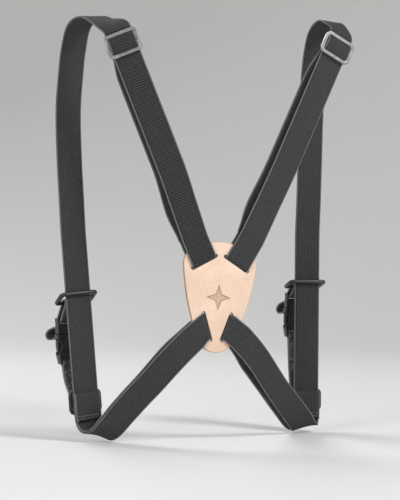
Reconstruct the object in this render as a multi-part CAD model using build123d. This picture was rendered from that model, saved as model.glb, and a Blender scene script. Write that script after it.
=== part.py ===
from build123d import *
from math import asin, cos, degrees, pi, radians, sin
import os

# A binocular harness: an X of elastic webbing on a leather back pad, in the shape it takes when worn.
# Millimetres. +Z is up, -Y is behind the wearer, +X is the wearer's right.
# The origin is the centre of the pad's back face, the face that lies on the wearer's back.
# Each side's strap runs from the pad's upper slot over the shoulder, down the chest, round the bottom
# bend and back to the pad's lower slot. In a strap's own frame X is across it, Z is along that run
# and Y points at the wearer.

# Webbing
STRAP_WIDTH = 25.0
STRAP_THICKNESS = 1.6
LAYER_STEP = 2.05              # one strap layer and the air to the next
WEB_WIDTH = 19.0
WEB_THICKNESS = 1.5
STEPS_PER_SPAN = 3             # sections between two route points
STRAIGHT_SPAN = 75.0           # route spans at least this long are straight runs

# Leather pad
PAD_THICKNESS = 4.0
PAD_TOP = 50.0
PAD_BOTTOM = -49.5
PAD_TILT = 3.6                 # degrees, the top leans to +X
PAD_CORNER = (35.6, 36.0)
PAD_WAIST = (30.1, 0.0)
PAD_FOOT = (17.4, -38.0)
PAD_CORNER_RADIUS = 9.0
SLOT_LENGTH = 28.5
SLOT_WIDTH = 3.4
SLOT_PLAY = 0.5                     # the strap lies this far off the slot's middle
UPPER_SLOT = (15.5, 31.0, 30.0)     # x, z and the way its strap leaves, in degrees from straight up
LOWER_SLOT = (9.3, -26.3, 109.0)
WRAP_RADIUS = 3.2                   # of the strap's middle, where it turns round the leather
WRAP_GAP = 5.0                      # degrees left open on each side of a slot's middle
LEATHER_STEP = 7.2                  # one strap layer to the next, where the leather is between them
LAYERS_APART = 30.0                 # from a slot, as far as they hold the leather between them
LAYERS_CLOSE = 90.0                 # from a slot, where they lie together
LAYER_ASIDE = {                     # the inner layers hang this far to the -X side of the outer ones
    "left": {"upper": 3.6, "lower": 1.2},
    "right": {"upper": 3.6, "lower": 3.8},
}
ASIDE_REACH = 30.0                  # from each end of a layer, where it is that far aside
STAR_RADIUS = 12.0
STAR_WAIST = 3.6
STAR_DEPTH = 0.6

# Three-bar sliders
SLIDER_WIDTH = 32.0
SLIDER_HEIGHT = 22.0
SLIDER_THICKNESS = 2.6
SLIDER_RADIUS = 5.0
SLIDER_BAR = 3.2
SLIDER_WINDOW = 26.8
CENTRE_BAR_THICKNESS = 1.8
CLEARANCE = 0.4                # between a strap and what slides on it
SLIDER_REACH = 12.5            # from the slider's middle to the end of its strap's straight run
HUMP_LENGTH = 14.4
FOLD_TOP = 17.5                # doubled, sewn end of the lower return layer: from here, above the low end,
FOLD_STEPS = 2                 # to this many sections past it
FOLD_PLAY = 0.35               # kept between the doubled, sewn end and the strap it slides on

# Chest loops
LOOP_WIDTH = 37.0
LOOP_LENGTH = 22.5
LOOP_BAR = 3.2
LOOP_THICKNESS = 3.0
LOOP_RADIUS = 3.5
LOOP_INNER_RADIUS = 1.5
LOOP_HEIGHT = {"left": 112.5, "right": 126.5}     # above the low end of the front run
LOOP_DROP = {"left": 9.0, "right": 5.5}           # from the bar on the strap to the outer bar

# Side-release buckles, for 20 mm web
BUCKLE_STANDOFF = 29.0         # outward from the front strap
BUCKLE_HEIGHT = {"left": 68.0, "right": 93.5}     # above the low end of the front run
BUCKLE_LENGTH = 43.0
SOCKET_LENGTH = 28.0
SOCKET_WIDTH = 26.0
SOCKET_THICKNESS = 9.0
SOCKET_RADIUS = 2.5
CAVITY_WIDTH = 21.0
CAVITY_THICKNESS = 5.6
CAVITY_DEPTH = 19.0
FINGER_TOP = 1.6               # the socket's side cut-outs, above the buckle's middle
FINGER_BOTTOM = -10.4
FINGER_DEPTH = 3.2
PLUG_GAP = 0.4
PLUG_WIDTH = 24.5
PLUG_THICKNESS = 8.0
PLUG_RADIUS = 2.0
PRONG_WIDTH = 4.0
PRONG_LENGTH = 14.0
ARM_INNER = 6.4                # from the buckle's middle to the arm's inner face
ARM_WIDTH = 3.0
ARM_THICKNESS = 4.6
ARM_LENGTH = 16.5
FINGER_PAD_THICKNESS = 7.6
BUCKLE_BAR = 3.0
BUCKLE_BAR_THICKNESS = 3.2
BUCKLE_SLOT = 3.6
BUCKLE_SLOT_WIDTH = 20.4
WEB_TURN = 3.25                # radius of the web's middle round a bar
TAIL_LENGTH = 20.0
TAIL_HEIGHT = 9.0
TAIL_TOP = 5.5                 # its inner end, above the buckle's middle
TAIL_FALL = 4.0                # from its inner end to its outer end
BELLY_IN = 2.5                 # the socket's web under the buckle: inward of it
BELLY_SHARE = 0.45             # and this share of the way down to the slider
KNEE_IN = 8.0
KNEE_ABOVE_SLIDER = 11.0
FOOT_STANDOFF = 12.0           # over the slider's middle
END_STANDOFF = 7.2
END_BELOW_SLIDER = 9.0

# Routes: (x, y, z) of the strap's middle, then the direction of its width
SLIDER_RUN_ACROSS = {"left": (0.88, -0.27, 0.36), "right": (0.89, 0.06, -0.45)}
FRONT_RUN_ACROSS = {"left": (0.99, 0.10, 0.08), "right": (0.99, -0.10, -0.01)}
BACK_ROUTE = {
    "left": [
        ((-23.0, -5.2, 53.0), (0.92, 0.01, 0.36)),
        ((-34.0, -4.9, 84.0), (0.91, -0.08, 0.36)),
        ((-46.4, -4.5, 118.4), SLIDER_RUN_ACROSS["left"]),
        ((-91.6, 6.8, 237.1), SLIDER_RUN_ACROSS["left"]),
    ],
    "right": [
        ((32.0, -5.2, 53.0), (0.84, 0.02, -0.52)),
        ((49.0, -4.6, 86.0), (0.86, 0.10, -0.48)),
        ((69.0, -3.0, 125.1), SLIDER_RUN_ACROSS["right"]),
        ((126.9, 7.0, 241.2), SLIDER_RUN_ACROSS["right"]),
    ],
}
FRONT_ROUTE = {
    "left": [
        ((-101.9, 16.6, 245.4), (0.88, 0.39, 0.27)),
        ((-108.6, 34.0, 251.4), (0.96, 0.27, 0.06)),
        ((-113.5, 52.0, 245.0), (0.99, 0.16, 0.02)),
        ((-115.8, 61.5, 226.0), (0.99, 0.11, 0.0)),
        ((-117.3, 65.0, 205.0), (0.99, 0.10, 0.0)),
        ((-119.5, 66.0, 170.0), (0.99, 0.10, 0.0)),
        ((-118.6, 66.0, 127.0), (0.99, 0.10, 0.0)),
        ((-116.6, 66.0, 90.0), (0.99, 0.10, 0.04)),
        ((-114.5, 66.0, 54.0), FRONT_RUN_ACROSS["left"]),
        ((-101.5, 66.0, -108.5), FRONT_RUN_ACROSS["left"]),
    ],
    "right": [
        ((125.6, 17.0, 253.2), (0.97, 0.02, -0.20)),
        ((126.2, 34.0, 257.6), (0.99, -0.02, -0.04)),
        ((126.4, 52.0, 249.0), (0.99, -0.10, 0.0)),
        ((126.2, 61.5, 230.0), (0.99, -0.10, 0.0)),
        ((125.0, 65.0, 205.0), (0.99, -0.10, 0.0)),
        ((123.6, 66.0, 170.0), (0.99, -0.10, 0.0)),
        ((122.2, 66.0, 127.0), (0.99, -0.10, 0.0)),
        ((121.0, 66.0, 90.0), (0.99, -0.10, 0.0)),
        ((119.6, 66.0, 54.0), FRONT_RUN_ACROSS["right"]),
        ((118.0, 66.0, -114.0), FRONT_RUN_ACROSS["right"]),
    ],
}
LOWER_ROUTE = {
    "left": [
        ((-99.5, 62.0, -120.0), (0.94, 0.10, -0.10)),
        ((-94.5, 52.0, -125.5), (0.90, 0.10, -0.30)),
        ((-88.0, 42.5, -119.5), (0.85, 0.0, -0.45)),
        ((-78.0, 34.0, -105.0), (0.82, -0.08, -0.55)),
        ((-68.0, 24.5, -90.5), (0.80, -0.10, -0.58)),
        ((-57.2, 14.0, -75.7), (0.79, -0.10, -0.60)),
        ((-46.8, 5.0, -61.0), (0.76, -0.10, -0.64)),
        ((-35.6, -2.4, -47.0), (0.66, -0.04, -0.75)),
        ((-24.0, -5.2, -35.5), (0.45, 0.0, -0.89)),
    ],
    "right": [
        ((116.0, 62.8, -122.5), (0.97, -0.15, 0.10)),
        ((111.0, 54.0, -125.5), (0.85, -0.30, 0.25)),
        ((103.5, 46.0, -119.0), (0.80, -0.20, 0.42)),
        ((87.0, 33.5, -103.5), (0.78, 0.0, 0.58)),
        ((68.5, 18.5, -87.0), (0.77, 0.12, 0.62)),
        ((53.5, 7.0, -71.5), (0.77, 0.10, 0.63)),
        ((41.5, -0.5, -58.0), (0.72, 0.08, 0.69)),
        ((31.0, -3.6, -46.5), (0.62, 0.03, 0.78)),
        ((20.5, -5.2, -36.0), (0.48, 0.0, 0.88)),
    ],
}
SIDE = {"left": -1.0, "right": 1.0}
TOWARDS_WEARER = Vector(0, 1, 0)


def tangents(points):
    """Direction of the route at each point: along a straight run at its ends, else between neighbours."""
    last = len(points) - 1
    found = []
    for i in range(last + 1):
        before = points[max(i - 1, 0)]
        after = points[min(i + 1, last)]
        if (points[i] - before).length > STRAIGHT_SPAN:
            after = points[i]
        elif (after - points[i]).length > STRAIGHT_SPAN:
            before = points[i]
        found.append((after - before).normalized())
    return found


def smooth_route(route):
    """Closely spaced (middle, direction along, direction across) stations on a hand-laid route."""
    points = [Vector(*middle) for middle, _ in route]
    widths = [Vector(*width).normalized() for _, width in route]
    ways = tangents(points)
    stations = []
    for span in range(len(route) - 1):
        reach = (points[span + 1] - points[span]).length
        for step in range(STEPS_PER_SPAN):
            t = step / STEPS_PER_SPAN
            ease = eased(t)
            middle = points[span] * (1 - ease) + points[span + 1] * ease
            middle += ways[span] * (reach * t * (1 - t) ** 2)
            middle -= ways[span + 1] * (reach * t * t * (1 - t))
            along = ways[span] * (1 - t) + ways[span + 1] * t
            across = widths[span] * (1 - t) + widths[span + 1] * t
            stations.append((middle, along.normalized(), across))
    stations.append((points[-1], ways[-1], widths[-1]))
    return stations


def squared(station):
    """A station's middle with its three directions made square: across, towards the wearer, along."""
    middle, along, across = station
    across = (across - along * across.dot(along)).normalized()
    return middle, across, along.cross(across), along


def offset(stations, towards):
    """The stations moved off the strap's face, towards the wearer if positive."""
    moved = []
    for station in stations:
        middle, across, facing, along = squared(station)
        moved.append((middle + facing * towards, along, across))
    return moved


def eased(share):
    """0 to 1, with no corner at either end."""
    t = min(max(share, 0), 1)
    return t * t * (3 - 2 * t)


def return_layer(stations, slot, side, aside):
    """Stations of the inner layer: behind the leather at the slot, then close to the outer layer."""
    middle, _, _ = slot_place(slot, side)
    ends = (stations[0][0], stations[-1][0])
    moved = []
    for station in stations:
        gone = ((station[0] - middle).length - LAYERS_APART) / (LAYERS_CLOSE - LAYERS_APART)
        ease = eased(gone)
        shift = aside
        for end in ends:
            shift *= eased((station[0] - end).length / ASIDE_REACH)
        place, across, facing, along = squared(station)
        place += facing * (LEATHER_STEP * (1 - ease) + LAYER_STEP * ease) - across * shift
        moved.append((place, along, across))
    return moved


def ribbon(stations, width=STRAP_WIDTH, thickness=STRAP_THICKNESS):
    """Flat strap through the stations."""
    wires = []
    for station in stations:
        middle, across, facing, _ = squared(station)
        corners = []
        for side, face in ((-1, -1), (1, -1), (1, 1), (-1, 1)):
            corners.append(middle + across * (side * width / 2) + facing * (face * thickness / 2))
        wires.append(Wire.make_polygon(corners, close=True))
    return Solid.make_loft(wires, ruled=True)


def slot_place(slot, side):
    """Middle of a pad slot, the way its strap leaves, and the slot's own direction."""
    x, z, lean = slot
    tilt = Rot(0, PAD_TILT, 0)
    middle = (tilt * Pos(side * x, -PAD_THICKNESS / 2, z)).position
    leave = (tilt * Pos(side * sin(radians(lean)), 0, cos(radians(lean)))).position
    across = TOWARDS_WEARER.cross(leave)
    if across.X < 0:
        across = -across
    return middle, leave, across


def wrap(slot, side, start, stop, steps=5):
    """Stations of the strap's turn round the leather: 0 degrees in front of the pad, 180 behind it."""
    middle, leave, across = slot_place(slot, side)
    way = 1 if stop > start else -1
    stations = []
    for i in range(steps + 1):
        angle = radians(start + (stop - start) * i / steps)
        place = middle + leave * (WRAP_RADIUS * (1 - sin(angle)) - SLOT_PLAY)
        place -= TOWARDS_WEARER * (WRAP_RADIUS * cos(angle))
        along = (TOWARDS_WEARER * sin(angle) - leave * cos(angle)) * way
        stations.append((place, along, across))
    return stations


def slot_cutter(slot, side):
    middle, _, across = slot_place(slot, side)
    plane = Plane(origin=middle, x_dir=across, z_dir=TOWARDS_WEARER)
    return extrude(plane * SlotOverall(SLOT_LENGTH, SLOT_WIDTH), PAD_THICKNESS, both=True)


def star():
    """Four-pointed ornament pressed into the pad."""
    points = []
    for i in range(8):
        reach = STAR_WAIST if i % 2 else STAR_RADIUS
        points.append((reach * cos(pi / 4 * i), reach * sin(pi / 4 * i)))
    return Polygon(*points, align=None)


def leather_pad():
    """Shield-shaped pad with four strap slots."""
    corners = [(-PAD_CORNER[0], PAD_CORNER[1]), PAD_CORNER, PAD_FOOT, (-PAD_FOOT[0], PAD_FOOT[1])]
    crowns = [(0, PAD_TOP), PAD_WAIST, (0, PAD_BOTTOM), (-PAD_WAIST[0], PAD_WAIST[1])]
    arcs = []
    for i, crown in enumerate(crowns):
        arcs.append(ThreePointArc(corners[i], crown, corners[(i + 1) % 4]))
    outline = make_face(arcs)
    outline = fillet(outline.vertices().sort_by(Axis.Y)[-2:], PAD_CORNER_RADIUS)
    face = Plane.XZ * outline
    mark = Plane.XZ.offset(PAD_THICKNESS - STAR_DEPTH) * star()
    pad = Rot(0, PAD_TILT, 0) * (extrude(face, PAD_THICKNESS) - extrude(mark, STAR_DEPTH))
    for side in SIDE.values():
        pad -= slot_cutter(UPPER_SLOT, side)
        pad -= slot_cutter(LOWER_SLOT, side)
    return pad


def main_strap(side):
    """Stations of one side's outer strap, and where its front part starts and ends."""
    whole = BACK_ROUTE[side] + FRONT_ROUTE[side] + LOWER_ROUTE[side]
    start = wrap(UPPER_SLOT, SIDE[side], 90 - WRAP_GAP, 0)
    end = wrap(LOWER_SLOT, SIDE[side], 0, 90 - WRAP_GAP)
    shoulder = len(start) + STEPS_PER_SPAN * (len(BACK_ROUTE[side]) - 1)
    bottom = shoulder + STEPS_PER_SPAN * len(FRONT_ROUTE[side])
    return start + smooth_route(whole) + end, shoulder, bottom


def straps(side):
    """The outer strap in its three stretches, and the inner layers that return to the sliders."""
    stations, shoulder, bottom = main_strap(side)
    upper_turn = wrap(UPPER_SLOT, SIDE[side], 90 + WRAP_GAP, 180)
    lower_turn = wrap(LOWER_SLOT, SIDE[side], 180, 90 + WRAP_GAP)
    turned = len(lower_turn)
    aside = LAYER_ASIDE[side]
    upper = return_layer(stations[turned:shoulder], UPPER_SLOT, SIDE[side], aside["upper"])
    lower = return_layer(stations[bottom + FOLD_STEPS : -turned], LOWER_SLOT, SIDE[side], aside["lower"])
    return {
        "back_strap": ribbon(stations[: shoulder + 1]),
        "front_strap": ribbon(stations[shoulder : bottom + 1]),
        "lower_strap": ribbon(stations[bottom:]),
        "upper_return_layer": ribbon(upper_turn + upper),
        "lower_return_layer": ribbon(lower + lower_turn),
    }


def frame_at(point, along, across, reach):
    """Plane on a strap, reach before point: X across it, Y towards the wearer, Z along it."""
    middle, across, _, along = squared((point, along, Vector(*across)))
    return Plane(origin=middle - along * reach, x_dir=across, z_dir=along)


def shoulder_frame(side):
    low = Vector(*BACK_ROUTE[side][-2][0])
    high = Vector(*BACK_ROUTE[side][-1][0])
    return frame_at(high, (high - low).normalized(), SLIDER_RUN_ACROSS[side], SLIDER_REACH)


def lower_frame(side):
    high = Vector(*FRONT_ROUTE[side][-2][0])
    low = Vector(*FRONT_ROUTE[side][-1][0])
    return frame_at(low, (low - high).normalized(), FRONT_RUN_ACROSS[side], SLIDER_REACH)


def chest_frame(side):
    """At the low end of the front run: X across the strap, Y away from the wearer, Z up the strap."""
    high = Vector(*FRONT_ROUTE[side][-2][0])
    low = Vector(*FRONT_ROUTE[side][-1][0])
    return frame_at(low, (high - low).normalized(), FRONT_RUN_ACROSS[side], 0)


def slab(width, y_range, z_range, x=0.0):
    """Box of a width centred on x, between two values of y and two of z."""
    depth = y_range[1] - y_range[0]
    height = z_range[1] - z_range[0]
    middle = Pos(x, (y_range[0] + y_range[1]) / 2, (z_range[0] + z_range[1]) / 2)
    return middle * Box(width, depth, height)


def sheet(lines, thickness, width):
    """Web of a thickness along lines drawn with Y then Z, as wide as width along X."""
    return extrude(Plane.YZ * trace(lines, thickness), width / 2, both=True)


def slider():
    """Three-bar slider on the outer face of a strap that lies in the XZ plane."""
    inner = -STRAP_THICKNESS / 2 - CLEARANCE
    outer = inner - SLIDER_THICKNESS
    outline = RectangleRounded(SLIDER_WIDTH, SLIDER_HEIGHT, SLIDER_RADIUS)
    body = extrude(Plane.XZ.offset(-inner) * outline, SLIDER_THICKNESS)
    window = (SLIDER_HEIGHT - 3 * SLIDER_BAR) / 2
    for way in (-1, 1):
        middle = way * (SLIDER_BAR + window) / 2
        body -= slab(SLIDER_WINDOW, (outer - 1, 0), (middle - window / 2, middle + window / 2))
    lowered = inner - CENTRE_BAR_THICKNESS
    body -= slab(SLIDER_WINDOW, (outer - 1, lowered), (-SLIDER_BAR / 2, SLIDER_BAR / 2))
    return body


def hump():
    """Strap passing over the slider's middle bar."""
    low = -STRAP_THICKNESS - CLEARANCE
    high = -STRAP_THICKNESS - 2 * CLEARANCE - CENTRE_BAR_THICKNESS
    arc = ThreePointArc((low, -HUMP_LENGTH / 2), (high, 0), (low, HUMP_LENGTH / 2))
    return sheet(arc, STRAP_THICKNESS, STRAP_WIDTH)


def return_fold(side):
    """Doubled, sewn end of the lower return layer, from the slider's middle bar down."""
    stations, _, bottom = main_strap(side)
    doubled = STRAP_THICKNESS + LAYER_STEP
    towards = LAYER_STEP + (doubled - STRAP_THICKNESS) / 2 + FOLD_PLAY
    start, along, across = stations[bottom]
    top = (start - along * FOLD_TOP, along, across)
    stretch = [top] + stations[bottom : bottom + FOLD_STEPS + 1]
    return ribbon(offset(stretch, towards), STRAP_WIDTH, doubled)


def loop_bars(side):
    """(y, z) of the chest loop's two bars in the chest frame, and its slope in degrees."""
    span = LOOP_LENGTH - LOOP_BAR
    slope = asin(LOOP_DROP[side] / span)
    reach = (LOOP_BAR * cos(slope) + LOOP_THICKNESS * sin(slope)) / 2
    near = -STRAP_THICKNESS / 2 - CLEARANCE - reach
    high = LOOP_HEIGHT[side]
    return (near, high), (near + span * cos(slope), high - LOOP_DROP[side]), degrees(slope)


def chest_loop(side):
    """Four-sided ring round the front strap."""
    near, far, slope = loop_bars(side)
    middle = Pos(0, (near[0] + far[0]) / 2, (near[1] + far[1]) / 2) * Rot(-slope, 0, 0)
    outside = RectangleRounded(LOOP_WIDTH, LOOP_LENGTH, LOOP_RADIUS)
    inside = RectangleRounded(LOOP_WIDTH - 2 * LOOP_BAR, LOOP_LENGTH - 2 * LOOP_BAR, LOOP_INNER_RADIUS)
    return middle * extrude(outside - inside, LOOP_THICKNESS / 2, both=True)


def web_band(start, end):
    """Closed loop of web round two bars at (y, z)."""
    first = Vector(*start)
    second = Vector(*end)
    gap = second - first
    angle = Vector(1, 0, 0).get_signed_angle(gap, Vector(0, 0, 1))
    place = Pos((first.X + second.X) / 2, (first.Y + second.Y) / 2) * Rot(0, 0, angle)
    outside = SlotCenterToCenter(gap.length, 2 * WEB_TURN + WEB_THICKNESS)
    inside = SlotCenterToCenter(gap.length, 2 * WEB_TURN - WEB_THICKNESS)
    return extrude(Plane.YZ * (place * (outside - inside)), WEB_WIDTH / 2, both=True)


def plug_bar(side):
    """(y, z) of the plug's web bar in the chest frame."""
    return BUCKLE_STANDOFF, BUCKLE_HEIGHT[side] + (BUCKLE_LENGTH - BUCKLE_BAR) / 2


def plug_web(side):
    _, far, _ = loop_bars(side)
    return web_band(far, plug_bar(side))


def web_tail(side):
    """Folded end of the plug's web, standing off the buckle's outer face."""
    start = BUCKLE_STANDOFF + SOCKET_THICKNESS / 2 + TAIL_HEIGHT / 2
    top = BUCKLE_HEIGHT[side] + TAIL_TOP
    return web_band((start, top), (start + TAIL_LENGTH - TAIL_HEIGHT, top - TAIL_FALL))


def buckle_place(side):
    return Pos(0, BUCKLE_STANDOFF, BUCKLE_HEIGHT[side])


def bar_cut(way):
    """Web slot and thinned bar at the buckle's top (1) or bottom (-1) end."""
    end = BUCKLE_LENGTH / 2
    bar = end - BUCKLE_BAR
    deep = PLUG_THICKNESS
    slot = slab(BUCKLE_SLOT_WIDTH, (-deep, deep), sorted((way * (bar - BUCKLE_SLOT), way * bar)))
    tool = slot
    for face in (-1, 1):
        thin = sorted((face * BUCKLE_BAR_THICKNESS / 2, face * deep))
        tool += slab(BUCKLE_SLOT_WIDTH, thin, sorted((way * bar, way * (end + 1))))
    return tool


def buckle_socket():
    """Female half, mouth up, with cut-outs for the latch arms' finger pads."""
    bottom = -BUCKLE_LENGTH / 2
    mouth = bottom + SOCKET_LENGTH
    body = slab(SOCKET_WIDTH, (-SOCKET_THICKNESS / 2, SOCKET_THICKNESS / 2), (bottom, mouth))
    body = fillet(body.edges().filter_by(Axis.Z), SOCKET_RADIUS)
    cavity = (-CAVITY_THICKNESS / 2, CAVITY_THICKNESS / 2)
    body -= slab(CAVITY_WIDTH, cavity, (mouth - CAVITY_DEPTH, mouth + 1))
    for way in (-1, 1):
        side = way * SOCKET_WIDTH / 2
        deep = (-SOCKET_THICKNESS, SOCKET_THICKNESS)
        body -= slab(2 * FINGER_DEPTH, deep, (FINGER_BOTTOM, FINGER_TOP), side)
    return body - bar_cut(-1)


def buckle_plug():
    """Male half's frame and guide prong."""
    top = BUCKLE_LENGTH / 2
    low = top - (BUCKLE_LENGTH - SOCKET_LENGTH) + PLUG_GAP
    body = slab(PLUG_WIDTH, (-PLUG_THICKNESS / 2, PLUG_THICKNESS / 2), (low, top))
    body = fillet(body.edges().filter_by(Axis.Z), PLUG_RADIUS)
    body += slab(PRONG_WIDTH, (-ARM_THICKNESS / 2, ARM_THICKNESS / 2), (low - PRONG_LENGTH, low))
    return body - bar_cut(1)


def latch_arm(way):
    """Springy arm with a finger pad, in the socket's cavity."""
    top = BUCKLE_LENGTH / 2 - (BUCKLE_LENGTH - SOCKET_LENGTH)
    thick = (-ARM_THICKNESS / 2, ARM_THICKNESS / 2)
    arm = slab(ARM_WIDTH, thick, (top - ARM_LENGTH, top), ARM_INNER + ARM_WIDTH / 2)
    outer = SOCKET_WIDTH / 2
    inner = ARM_INNER + ARM_WIDTH + CLEARANCE
    pad_low = FINGER_BOTTOM + CLEARANCE
    pad_high = FINGER_TOP - CLEARANCE
    neck = slab(outer - ARM_INNER - 1, thick, (pad_low, pad_high), (outer + ARM_INNER + 1) / 2)
    half = FINGER_PAD_THICKNESS / 2
    start = inner + CLEARANCE
    grip = slab(outer - start, (-half, half), (pad_low, pad_high), (outer + start) / 2)
    arm = arm + neck + grip
    return arm if way > 0 else mirror(arm, Plane.YZ)


def socket_web(side):
    """Doubled web from the socket's bar down to the strap over the lower slider."""
    bar = BUCKLE_HEIGHT[side] - (BUCKLE_LENGTH - BUCKLE_BAR) / 2
    outside = Circle(WEB_TURN + WEB_THICKNESS / 2)
    inside = Circle(WEB_TURN - WEB_THICKNESS / 2)
    run = Spline(
        (BUCKLE_STANDOFF, bar - WEB_TURN),
        (BUCKLE_STANDOFF - BELLY_IN, bar - BELLY_SHARE * (bar - SLIDER_REACH)),
        (BUCKLE_STANDOFF - KNEE_IN, SLIDER_REACH + KNEE_ABOVE_SLIDER),
        (FOOT_STANDOFF, SLIDER_REACH),
        (END_STANDOFF, SLIDER_REACH - END_BELOW_SLIDER),
    )
    profile = Pos(BUCKLE_STANDOFF, bar) * outside + trace(run, 2 * WEB_THICKNESS)
    profile -= Pos(BUCKLE_STANDOFF, bar) * inside
    return extrude(Plane.YZ * profile, WEB_WIDTH / 2, both=True)


def chest_parts(side):
    place = buckle_place(side)
    return {
        "chest_loop": chest_loop(side),
        "plug_web": plug_web(side),
        "web_tail": web_tail(side),
        "buckle_plug": place * buckle_plug(),
        "latch_arm_inner": place * latch_arm(-SIDE[side]),
        "latch_arm_outer": place * latch_arm(SIDE[side]),
        "buckle_socket": place * buckle_socket(),
        "socket_web": socket_web(side),
    }


def side_parts(side):
    """Every piece of one side, by name, in the object's frame."""
    parts = straps(side)
    parts["shoulder_slider"] = shoulder_frame(side).location * slider()
    parts["shoulder_strap_turn"] = shoulder_frame(side).location * hump()
    parts["lower_slider"] = lower_frame(side).location * slider()
    parts["lower_strap_turn"] = lower_frame(side).location * hump()
    parts["return_fold"] = return_fold(side)
    chest = chest_frame(side).location
    for name, shape in chest_parts(side).items():
        parts[name] = chest * shape
    return parts


os.makedirs("parts", exist_ok=True)
export_step(leather_pad(), "parts/leather_pad.step")
for side in SIDE:
    for name, shape in side_parts(side).items():
        export_step(shape, f"parts/{side}_{name}.step")
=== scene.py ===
import bmesh
import bpy
from math import asin, atan2, ceil, cos, degrees, pi, radians, sin
from mathutils import Matrix, Vector

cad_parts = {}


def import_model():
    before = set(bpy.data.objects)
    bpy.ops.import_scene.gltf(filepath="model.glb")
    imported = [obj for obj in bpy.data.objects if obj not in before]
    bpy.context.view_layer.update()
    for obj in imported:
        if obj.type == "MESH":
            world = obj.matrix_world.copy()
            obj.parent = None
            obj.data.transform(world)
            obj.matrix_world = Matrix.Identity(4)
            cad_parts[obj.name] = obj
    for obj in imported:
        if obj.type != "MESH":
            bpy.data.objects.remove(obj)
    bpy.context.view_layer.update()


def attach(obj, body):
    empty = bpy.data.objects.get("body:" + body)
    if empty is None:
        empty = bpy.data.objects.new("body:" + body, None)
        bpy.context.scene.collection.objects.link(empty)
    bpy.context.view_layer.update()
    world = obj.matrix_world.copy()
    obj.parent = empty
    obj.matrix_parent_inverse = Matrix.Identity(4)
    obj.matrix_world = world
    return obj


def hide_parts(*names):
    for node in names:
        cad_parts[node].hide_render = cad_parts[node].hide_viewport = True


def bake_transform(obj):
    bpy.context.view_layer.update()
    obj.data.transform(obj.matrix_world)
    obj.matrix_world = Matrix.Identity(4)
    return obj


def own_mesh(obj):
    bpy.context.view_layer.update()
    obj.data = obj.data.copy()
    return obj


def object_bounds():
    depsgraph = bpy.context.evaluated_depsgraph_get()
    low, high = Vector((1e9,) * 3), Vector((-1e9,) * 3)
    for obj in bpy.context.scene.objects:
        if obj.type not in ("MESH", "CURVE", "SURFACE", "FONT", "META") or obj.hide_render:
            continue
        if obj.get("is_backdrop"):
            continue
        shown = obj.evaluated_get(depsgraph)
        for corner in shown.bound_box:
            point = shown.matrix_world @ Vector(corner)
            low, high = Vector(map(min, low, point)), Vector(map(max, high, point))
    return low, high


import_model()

# Lengths are in metres. Routes are written in millimetres, as in the part's own drawing.
MM = 0.001
SIDES = {"left": -1.0, "right": 1.0}
TOWARDS_WEARER = Vector((0, 1, 0))

# Webbing
STRAP_WIDTH = 25.0 * MM
STRAP_THICKNESS = 1.5 * MM
LAYER_STEP = 2.05 * MM
WEB_WIDTH = 19.0 * MM
WEB_THICKNESS = 1.4 * MM
STATION_STEP = 2.2 * MM        # between two sections of a strap
STRAIGHT_SPAN = 75.0 * MM
EDGE_POINTS = 4                # on each rounded edge of a strap's section
FACE_POINTS = 8
SELVEDGE = (1.5, 1.1)          # in millimetres from a strap's edge: it starts, and is full
GROOVE = (2.3, 1.9)

# Leather pad
PAD_THICKNESS = 4.0 * MM
PAD_TILT = radians(3.6)
PAD_TOP = 50.0 * MM
PAD_BOTTOM = -49.5 * MM
PAD_CORNER = (35.6 * MM, 36.0 * MM)
PAD_WAIST = (30.1 * MM, 0.0)
PAD_FOOT = (17.4 * MM, -38.0 * MM)
PAD_CORNER_CUT = 7.0 * MM      # from each top corner, where its curve starts
PAD_EDGE = 0.7 * MM
PAD_SKIN = 0.15 * MM           # deeper faces are walls of a slot or belong to the star
SLOT_LENGTH = 28.0 * MM
SLOT_WIDTH = 3.0 * MM
UPPER_SLOT = (15.5 * MM, 31.0 * MM, radians(30.0))
LOWER_SLOT = (9.3 * MM, -26.3 * MM, radians(109.0))
WRAP_RADIUS = 3.2 * MM
SLOT_PLAY = 0.5 * MM
STAR_RADIUS = 12.0 * MM
STAR_WAIST = 4.4 * MM
STAR_DEPTH = 0.75 * MM
STAR_CROWN_DEPTH = 0.2 * MM

# Inner return layers
LEATHER_STEP = 7.2 * MM        # behind the outer layer, with the leather between them
LAYERS_APART = 30.0 * MM       # from the slot, where the layers start to close up
LAYERS_CLOSE = 90.0 * MM       # and where they are close
LAYER_ASIDE = {
    "left": {"upper": 3.6 * MM, "lower": 1.2 * MM},
    "right": {"upper": 3.6 * MM, "lower": 3.8 * MM},
}
ASIDE_REACH = 30.0 * MM
SLACK_REACH = 45.0 * MM
UPPER_SLACK = 5.0 * MM         # keeps it behind the outer layer while the slider comes down
FOLD_TOP = 17.5 * MM
FOLD_LENGTH = 23.6 * MM
FOLD_PLAY = 0.35 * MM
FOLD_STEP = 1.15 * STRAP_THICKNESS
FOLD_BULGE = 0.9 * MM
FOLD_SEAM = (2.0, 4.5)         # its rows, in millimetres from the sewn end
FOLD_SEAM_HALF = 11.0

# Sliders, in millimetres
SLIDER_REACH = 12.5
SLIDER_SIZE = (32.0, 22.0, 2.6)
SLIDER_RADIUS = 5.0
SLIDER_WINDOW = (25.8, 15.4, 2.2)   # width, height, corner radius
SLIDER_OUT = 2.5               # from the strap's middle to the slider's
MIDDLE_BAR = (27.0, 3.0, 1.5)
MIDDLE_BAR_OUT = 2.1
HUMP = [(-1.55, -8.6), (-1.9, -7.4), (-3.1, -4.6), (-4.0, -2.2), (-4.2, 0.0),
        (-4.0, 2.2), (-3.1, 4.6), (-1.9, 7.4), (-1.55, 8.6)]
TURN_THICKNESS = 1.35 * MM     # of the strap where it is squeezed over the middle bar

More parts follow.
